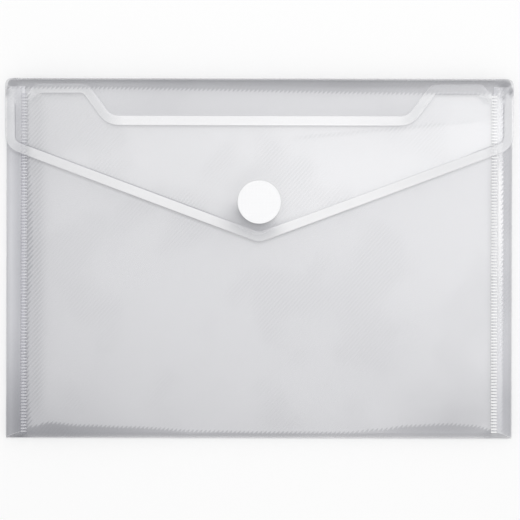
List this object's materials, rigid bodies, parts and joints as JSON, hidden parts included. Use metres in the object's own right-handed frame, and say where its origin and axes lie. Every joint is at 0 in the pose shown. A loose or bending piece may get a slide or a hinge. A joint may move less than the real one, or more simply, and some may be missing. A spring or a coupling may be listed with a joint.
{
  "type": "document wallet",
  "caption": "Landscape document wallet of clear embossed film, with a pointed flap, side gussets welded to the front and a round hook-and-loop closure.",
  "frame": {"origin": "under the middle of the wallet, on the surface that it lies on", "axes": "+X across the wallet, +Y from the bottom fold to the top spine, +Z from the back to the flap"},
  "size_m": [0.235, 0.167, 0.0086],
  "materials": {
    "film": "clear polypropylene film, embossed with fine diagonal lines",
    "weld": "ribbed ultrasonic weld",
    "adhesive": "clear pressure-sensitive adhesive",
    "tape": "woven nylon tape",
    "loop_pile": "nylon loop pile",
    "hooks": "nylon hooks"
  },
  "bodies": {
    "back": {"back_panel": "film", "bottom_fold_lower": "film", "bottom_fold_upper": "film", "left_gusset_back": "film", "right_gusset_back": "film"},
    "spine": {"top_spine": "film"},
    "flap": {"flap_panel": "film", "hook_adhesive": "adhesive", "hook_base": "tape", "hook_pins": "hooks"},
    "front": {"front_panel": "film", "left_gusset_front": "film", "right_gusset_front": "film", "left_weld_seam": "weld", "right_weld_seam": "weld", "loop_adhesive": "adhesive", "loop_base": "tape", "loop_pile": "loop_pile"}
  },
  "joints": [
    {"name": "spine_fold", "type": "hinge", "parent": "back", "child": "spine", "pos_m": [0, 0.08335, 0.00015], "axis": [-1, 0, 0], "range_deg": [0, 90]},
    {"name": "flap_fold", "type": "hinge", "parent": "spine", "child": "flap", "pos_m": [0, 0.08335, 0.00845], "axis": [-1, 0, 0], "range_deg": [0, 90]},
    {"name": "pocket_fold", "type": "hinge", "parent": "back", "child": "front", "pos_m": [0, -0.0807, 0.0028], "axis": [1, 0, 0], "range_deg": [0, 4]}
  ],
  "couplings": [
    {"joint": "spine_fold", "follows": "flap_fold", "ratio": 1},
    {"joint": "pocket_fold", "follows": "flap_fold", "ratio": 0.0444}
  ]
}
